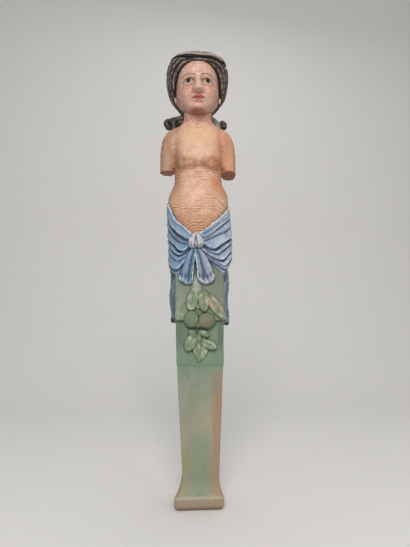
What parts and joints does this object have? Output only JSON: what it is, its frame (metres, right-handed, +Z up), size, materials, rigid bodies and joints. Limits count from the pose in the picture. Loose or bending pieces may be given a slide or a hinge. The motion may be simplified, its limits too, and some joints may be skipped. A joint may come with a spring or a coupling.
{
  "type": "carved and painted wooden term figure",
  "caption": "Armless carved wooden woman with knotted blue cloth at the hips, growing from a green tapering pilaster with leaves, fruit and a flared foot.",
  "frame": {"origin": "on the underside of the foot, on the axis of the pilaster's shaft and under the middle of its depth", "axes": "+Z up along the figure, -Y the carved front, +Y the flat back, +X the figure's left hand side as the viewer's right"},
  "size_m": [0.1299, 0.0864, 0.746],
  "materials": {
    "painted_wood": "old matt and satin oil paint on carved softwood: flesh, blue cloth, dark hair and green pilaster, worn to brown wood in places"
  },
  "bodies": {
    "root": {"carved_figure": "painted_wood"}
  },
  "joints": []
}
